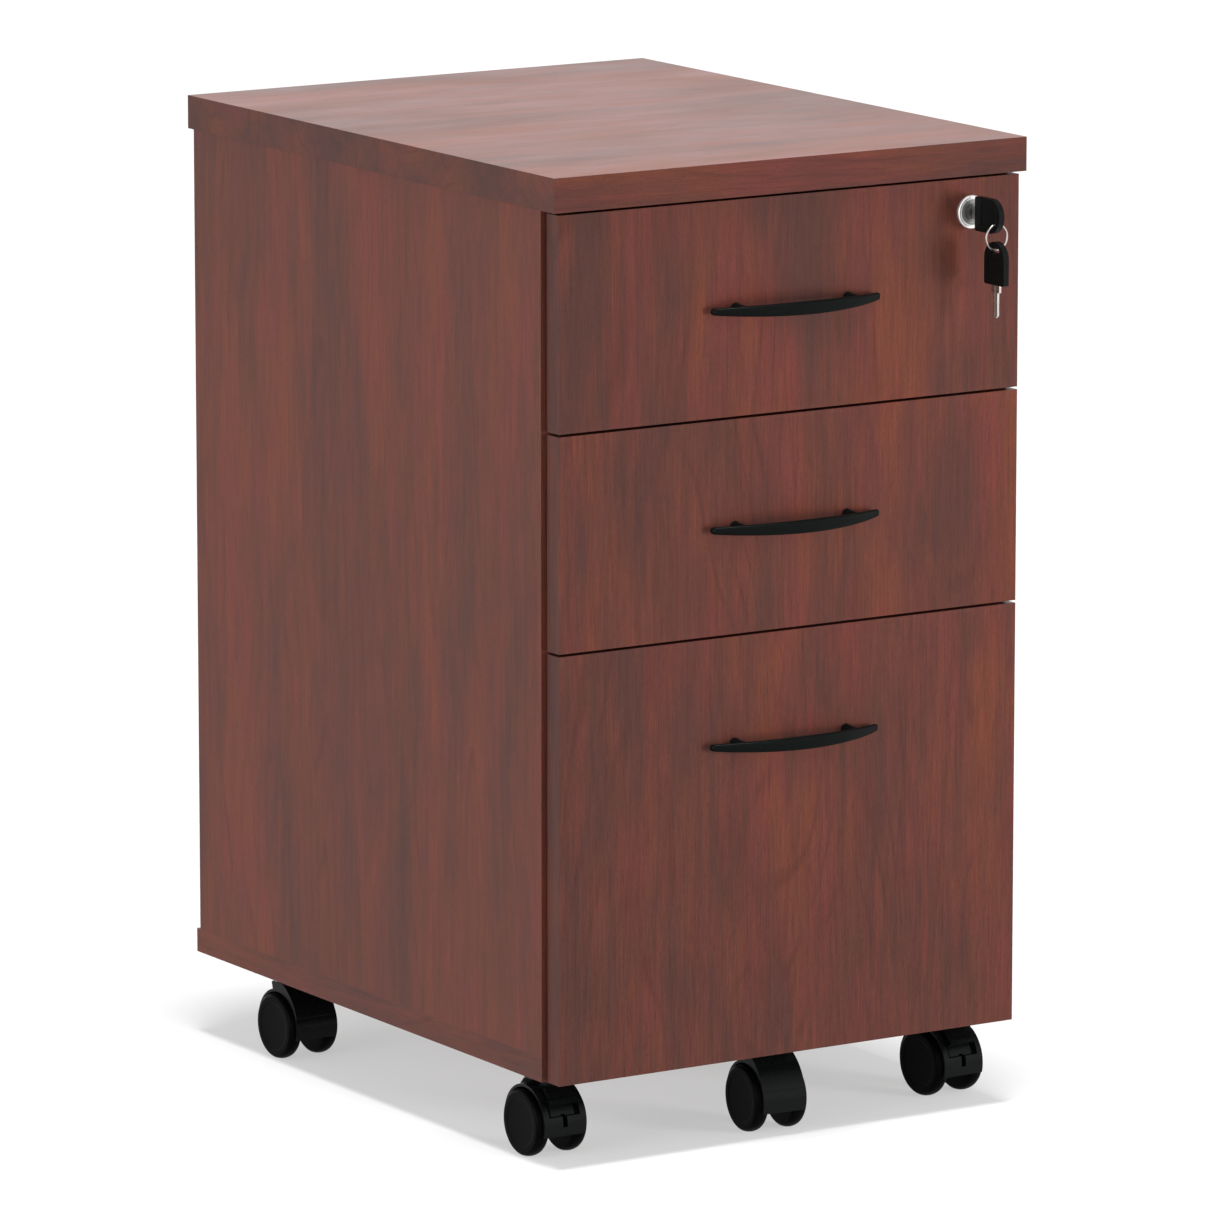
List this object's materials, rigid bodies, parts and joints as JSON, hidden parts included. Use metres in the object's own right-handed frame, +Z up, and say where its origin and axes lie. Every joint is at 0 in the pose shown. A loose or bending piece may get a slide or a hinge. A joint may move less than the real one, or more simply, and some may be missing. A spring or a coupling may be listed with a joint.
{
  "type": "mobile filing pedestal",
  "caption": "Laminate mobile filing pedestal: box drawers over a hanging-file drawer, bow handles, a gang lock with its keys, and hooded casters that swivel and roll.",
  "frame": {"origin": "on the floor under the middle of the whole object, the hanging key included", "axes": "+Z up, the drawers open towards -Y, +X to the right of someone facing the drawers"},
  "size_m": [0.403, 0.5634, 0.7205],
  "materials": {
    "laminate_top": "satin cherry-coloured laminate, grain across the width",
    "laminate": "satin cherry-coloured laminate, vertical grain",
    "drawer_board": "pale grey melamine-faced board",
    "black_enamel": "satin black enamelled casting",
    "zinc_steel": "zinc plated steel",
    "lock_chrome": "bright nickel plated, turned",
    "key_nickel": "nickel plated brass",
    "key_plastic": "black moulded plastic",
    "caster_black": "black nylon with a soft gloss",
    "clear_rubber": "translucent soft stop"
  },
  "bodies": {
    "carcass": {"top_panel": "laminate_top", "left_side_panel": "laminate", "right_side_panel": "laminate", "bottom_panel": "laminate", "back_panel": "laminate", "cam_fasteners": "zinc_steel", "box_slide_outer_rails": "zinc_steel", "file_slide_outer_rails": "zinc_steel", "caster_stem_plates": "zinc_steel", "caster_plate_screws": "zinc_steel", "drawer_bumpers": "clear_rubber"},
    "upper_drawer": {"upper_drawer_front": "laminate", "upper_drawer_sides": "drawer_board", "upper_drawer_back": "drawer_board", "upper_drawer_bottom": "drawer_board", "upper_handle": "black_enamel", "upper_slide_inner_rails": "zinc_steel", "upper_lock_catch": "zinc_steel", "lock_housing": "lock_chrome"},
    "middle_drawer": {"middle_drawer_front": "laminate", "middle_drawer_sides": "drawer_board", "middle_drawer_back": "drawer_board", "middle_drawer_bottom": "drawer_board", "middle_handle": "black_enamel", "middle_slide_inner_rails": "zinc_steel", "middle_lock_catch": "zinc_steel"},
    "file_drawer": {"file_drawer_front": "laminate", "file_drawer_sides": "drawer_board", "file_drawer_back": "drawer_board", "file_drawer_bottom": "drawer_board", "file_handle": "black_enamel", "file_slide_inner_rails": "zinc_steel", "file_lock_catch": "zinc_steel", "hanging_file_rails": "zinc_steel", "anti_tip_bracket": "zinc_steel"},
    "file_slide_middle": {"file_slide_middle_rails": "zinc_steel"},
    "lock_cylinder": {"lock_plug": "lock_chrome", "inserted_key_blade": "key_nickel", "inserted_key_bow": "key_plastic"},
    "lock_bar": {"lock_bar": "zinc_steel"},
    "key_ring": {"key_ring": "key_nickel"},
    "spare_key": {"spare_key_blade": "key_nickel", "spare_key_bow": "key_plastic"},
    "front_left_caster": {"front_left_caster_hood": "caster_black"},
    "front_left_outer_wheel_body": {"front_left_outer_wheel": "caster_black"},
    "front_left_inner_wheel_body": {"front_left_inner_wheel": "caster_black"},
    "front_left_brake_lever_body": {"front_left_brake_lever": "caster_black"},
    "front_right_caster": {"front_right_caster_hood": "caster_black"},
    "front_right_outer_wheel_body": {"front_right_outer_wheel": "caster_black"},
    "front_right_inner_wheel_body": {"front_right_inner_wheel": "caster_black"},
    "front_right_brake_lever_body": {"front_right_brake_lever": "caster_black"},
    "rear_left_caster": {"rear_left_caster_hood": "caster_black"},
    "rear_left_outer_wheel_body": {"rear_left_outer_wheel": "caster_black"},
    "rear_left_inner_wheel_body": {"rear_left_inner_wheel": "caster_black"},
    "rear_right_caster": {"rear_right_caster_hood": "caster_black"},
    "rear_right_outer_wheel_body": {"rear_right_outer_wheel": "caster_black"},
    "rear_right_inner_wheel_body": {"rear_right_inner_wheel": "caster_black"},
    "fifth_caster": {"fifth_caster_hood": "caster_black"},
    "fifth_left_wheel_body": {"fifth_left_wheel": "caster_black"},
    "fifth_right_wheel_body": {"fifth_right_wheel": "caster_black"}
  },
  "joints": [
    {"name": "upper_drawer_slide", "type": "slide", "parent": "carcass", "child": "upper_drawer", "axis": [0, -1, 0], "range_m": [0, 0.33]},
    {"name": "middle_drawer_slide", "type": "slide", "parent": "carcass", "child": "middle_drawer", "axis": [0, -1, 0], "range_m": [0, 0.33]},
    {"name": "file_drawer_slide", "type": "slide", "parent": "carcass", "child": "file_drawer", "axis": [0, -1, 0], "range_m": [0, 0.45]},
    {"name": "file_slide_middle_travel", "type": "slide", "parent": "carcass", "child": "file_slide_middle", "axis": [0, -1, 0], "range_m": [0, 0.225]},
    {"name": "key_turn", "type": "hinge", "parent": "upper_drawer", "child": "lock_cylinder", "pos_m": [0.1545, -0.23835, 0.669], "axis": [0, 1, 0], "range_deg": [0, 90]},
    {"name": "lock_bar_lift", "type": "slide", "parent": "carcass", "child": "lock_bar", "axis": [0, 0, 1], "range_m": [0, 0.008]},
    {"name": "key_ring_swing", "type": "hinge", "parent": "lock_cylinder", "child": "key_ring", "pos_m": [0.1545, -0.26915, 0.6641], "axis": [1, 0, 0], "range_deg": [-60, 20]},
    {"name": "spare_key_hang", "type": "hinge", "parent": "key_ring", "child": "spare_key", "pos_m": [0.1545, -0.26915, 0.6544], "axis": [0, 1, 0], "range_deg": [-90, 0]},
    {"name": "front_left_swivel", "type": "hinge", "parent": "carcass", "child": "front_left_caster", "pos_m": [-0.1725, -0.16285, 0.06], "axis": [0, 0, 1], "continuous": true},
    {"name": "front_left_outer_wheel_roll", "type": "hinge", "parent": "front_left_caster", "child": "front_left_outer_wheel_body", "pos_m": [-0.1725, -0.17785, 0.025], "axis": [1, 0, 0], "continuous": true},
    {"name": "front_left_inner_wheel_roll", "type": "hinge", "parent": "front_left_caster", "child": "front_left_inner_wheel_body", "pos_m": [-0.1725, -0.17785, 0.025], "axis": [1, 0, 0], "continuous": true},
    {"name": "front_left_brake", "type": "hinge", "parent": "front_left_caster", "child": "front_left_brake_lever_body", "pos_m": [-0.1725, -0.19053, 0.04884], "axis": [1, 0, 0], "range_deg": [-12, 0]},
    {"name": "front_right_swivel", "type": "hinge", "parent": "carcass", "child": "front_right_caster", "pos_m": [0.1725, -0.16285, 0.06], "axis": [0, 0, 1], "continuous": true},
    {"name": "front_right_outer_wheel_roll", "type": "hinge", "parent": "front_right_caster", "child": "front_right_outer_wheel_body", "pos_m": [0.17328, -0.17783, 0.025], "axis": [0.9986, 0.0523, 0], "continuous": true},
    {"name": "front_right_inner_wheel_roll", "type": "hinge", "parent": "front_right_caster", "child": "front_right_inner_wheel_body", "pos_m": [0.17328, -0.17783, 0.025], "axis": [0.9986, 0.0523, 0], "continuous": true},
    {"name": "front_right_brake", "type": "hinge", "parent": "front_right_caster", "child": "front_right_brake_lever_body", "pos_m": [0.17395, -0.19049, 0.04884], "axis": [0.9986, 0.0523, 0], "range_deg": [-12, 0]},
    {"name": "rear_left_swivel", "type": "hinge", "parent": "carcass", "child": "rear_left_caster", "pos_m": [-0.1725, 0.19265, 0.06], "axis": [0, 0, 1], "continuous": true},
    {"name": "rear_left_outer_wheel_roll", "type": "hinge", "parent": "rear_left_caster", "child": "rear_left_outer_wheel_body", "pos_m": [-0.17211, 0.17766, 0.025], "axis": [0.9997, 0.0262, 0], "continuous": true},
    {"name": "rear_left_inner_wheel_roll", "type": "hinge", "parent": "rear_left_caster", "child": "rear_left_inner_wheel_body", "pos_m": [-0.17211, 0.17766, 0.025], "axis": [0.9997, 0.0262, 0], "continuous": true},
    {"name": "rear_right_swivel", "type": "hinge", "parent": "carcass", "child": "rear_right_caster", "pos_m": [0.1725, 0.19265, 0.06], "axis": [0, 0, 1], "continuous": true},
    {"name": "rear_right_outer_wheel_roll", "type": "hinge", "parent": "rear_right_caster", "child": "rear_right_outer_wheel_body", "pos_m": [0.17198, 0.17766, 0.025], "axis": [0.9994, -0.0349, 0], "continuous": true},
    {"name": "rear_right_inner_wheel_roll", "type": "hinge", "parent": "rear_right_caster", "child": "rear_right_inner_wheel_body", "pos_m": [0.17198, 0.17766, 0.025], "axis": [0.9994, -0.0349, 0], "continuous": true},
    {"name": "fifth_swivel", "type": "hinge", "parent": "file_drawer", "child": "fifth_caster", "pos_m": [0.003, -0.18735, 0.06], "axis": [0, 0, 1], "continuous": true},
    {"name": "fifth_left_wheel_roll", "type": "hinge", "parent": "fifth_caster", "child": "fifth_left_wheel_body", "pos_m": [0.00208, -0.20232, 0.025], "axis": [0.9981, -0.061, 0], "continuous": true},
    {"name": "fifth_right_wheel_roll", "type": "hinge", "parent": "fifth_caster", "child": "fifth_right_wheel_body", "pos_m": [0.00208, -0.20232, 0.025], "axis": [0.9981, -0.061, 0], "continuous": true}
  ],
  "couplings": [
    {"joint": "file_slide_middle_travel", "follows": "file_drawer_slide", "ratio": 0.5},
    {"joint": "key_turn", "follows": "lock_bar_lift", "rad_per_m": 196.3},
    {"joint": "spare_key_hang", "follows": "lock_bar_lift", "rad_per_m": -196.3}
  ]
}
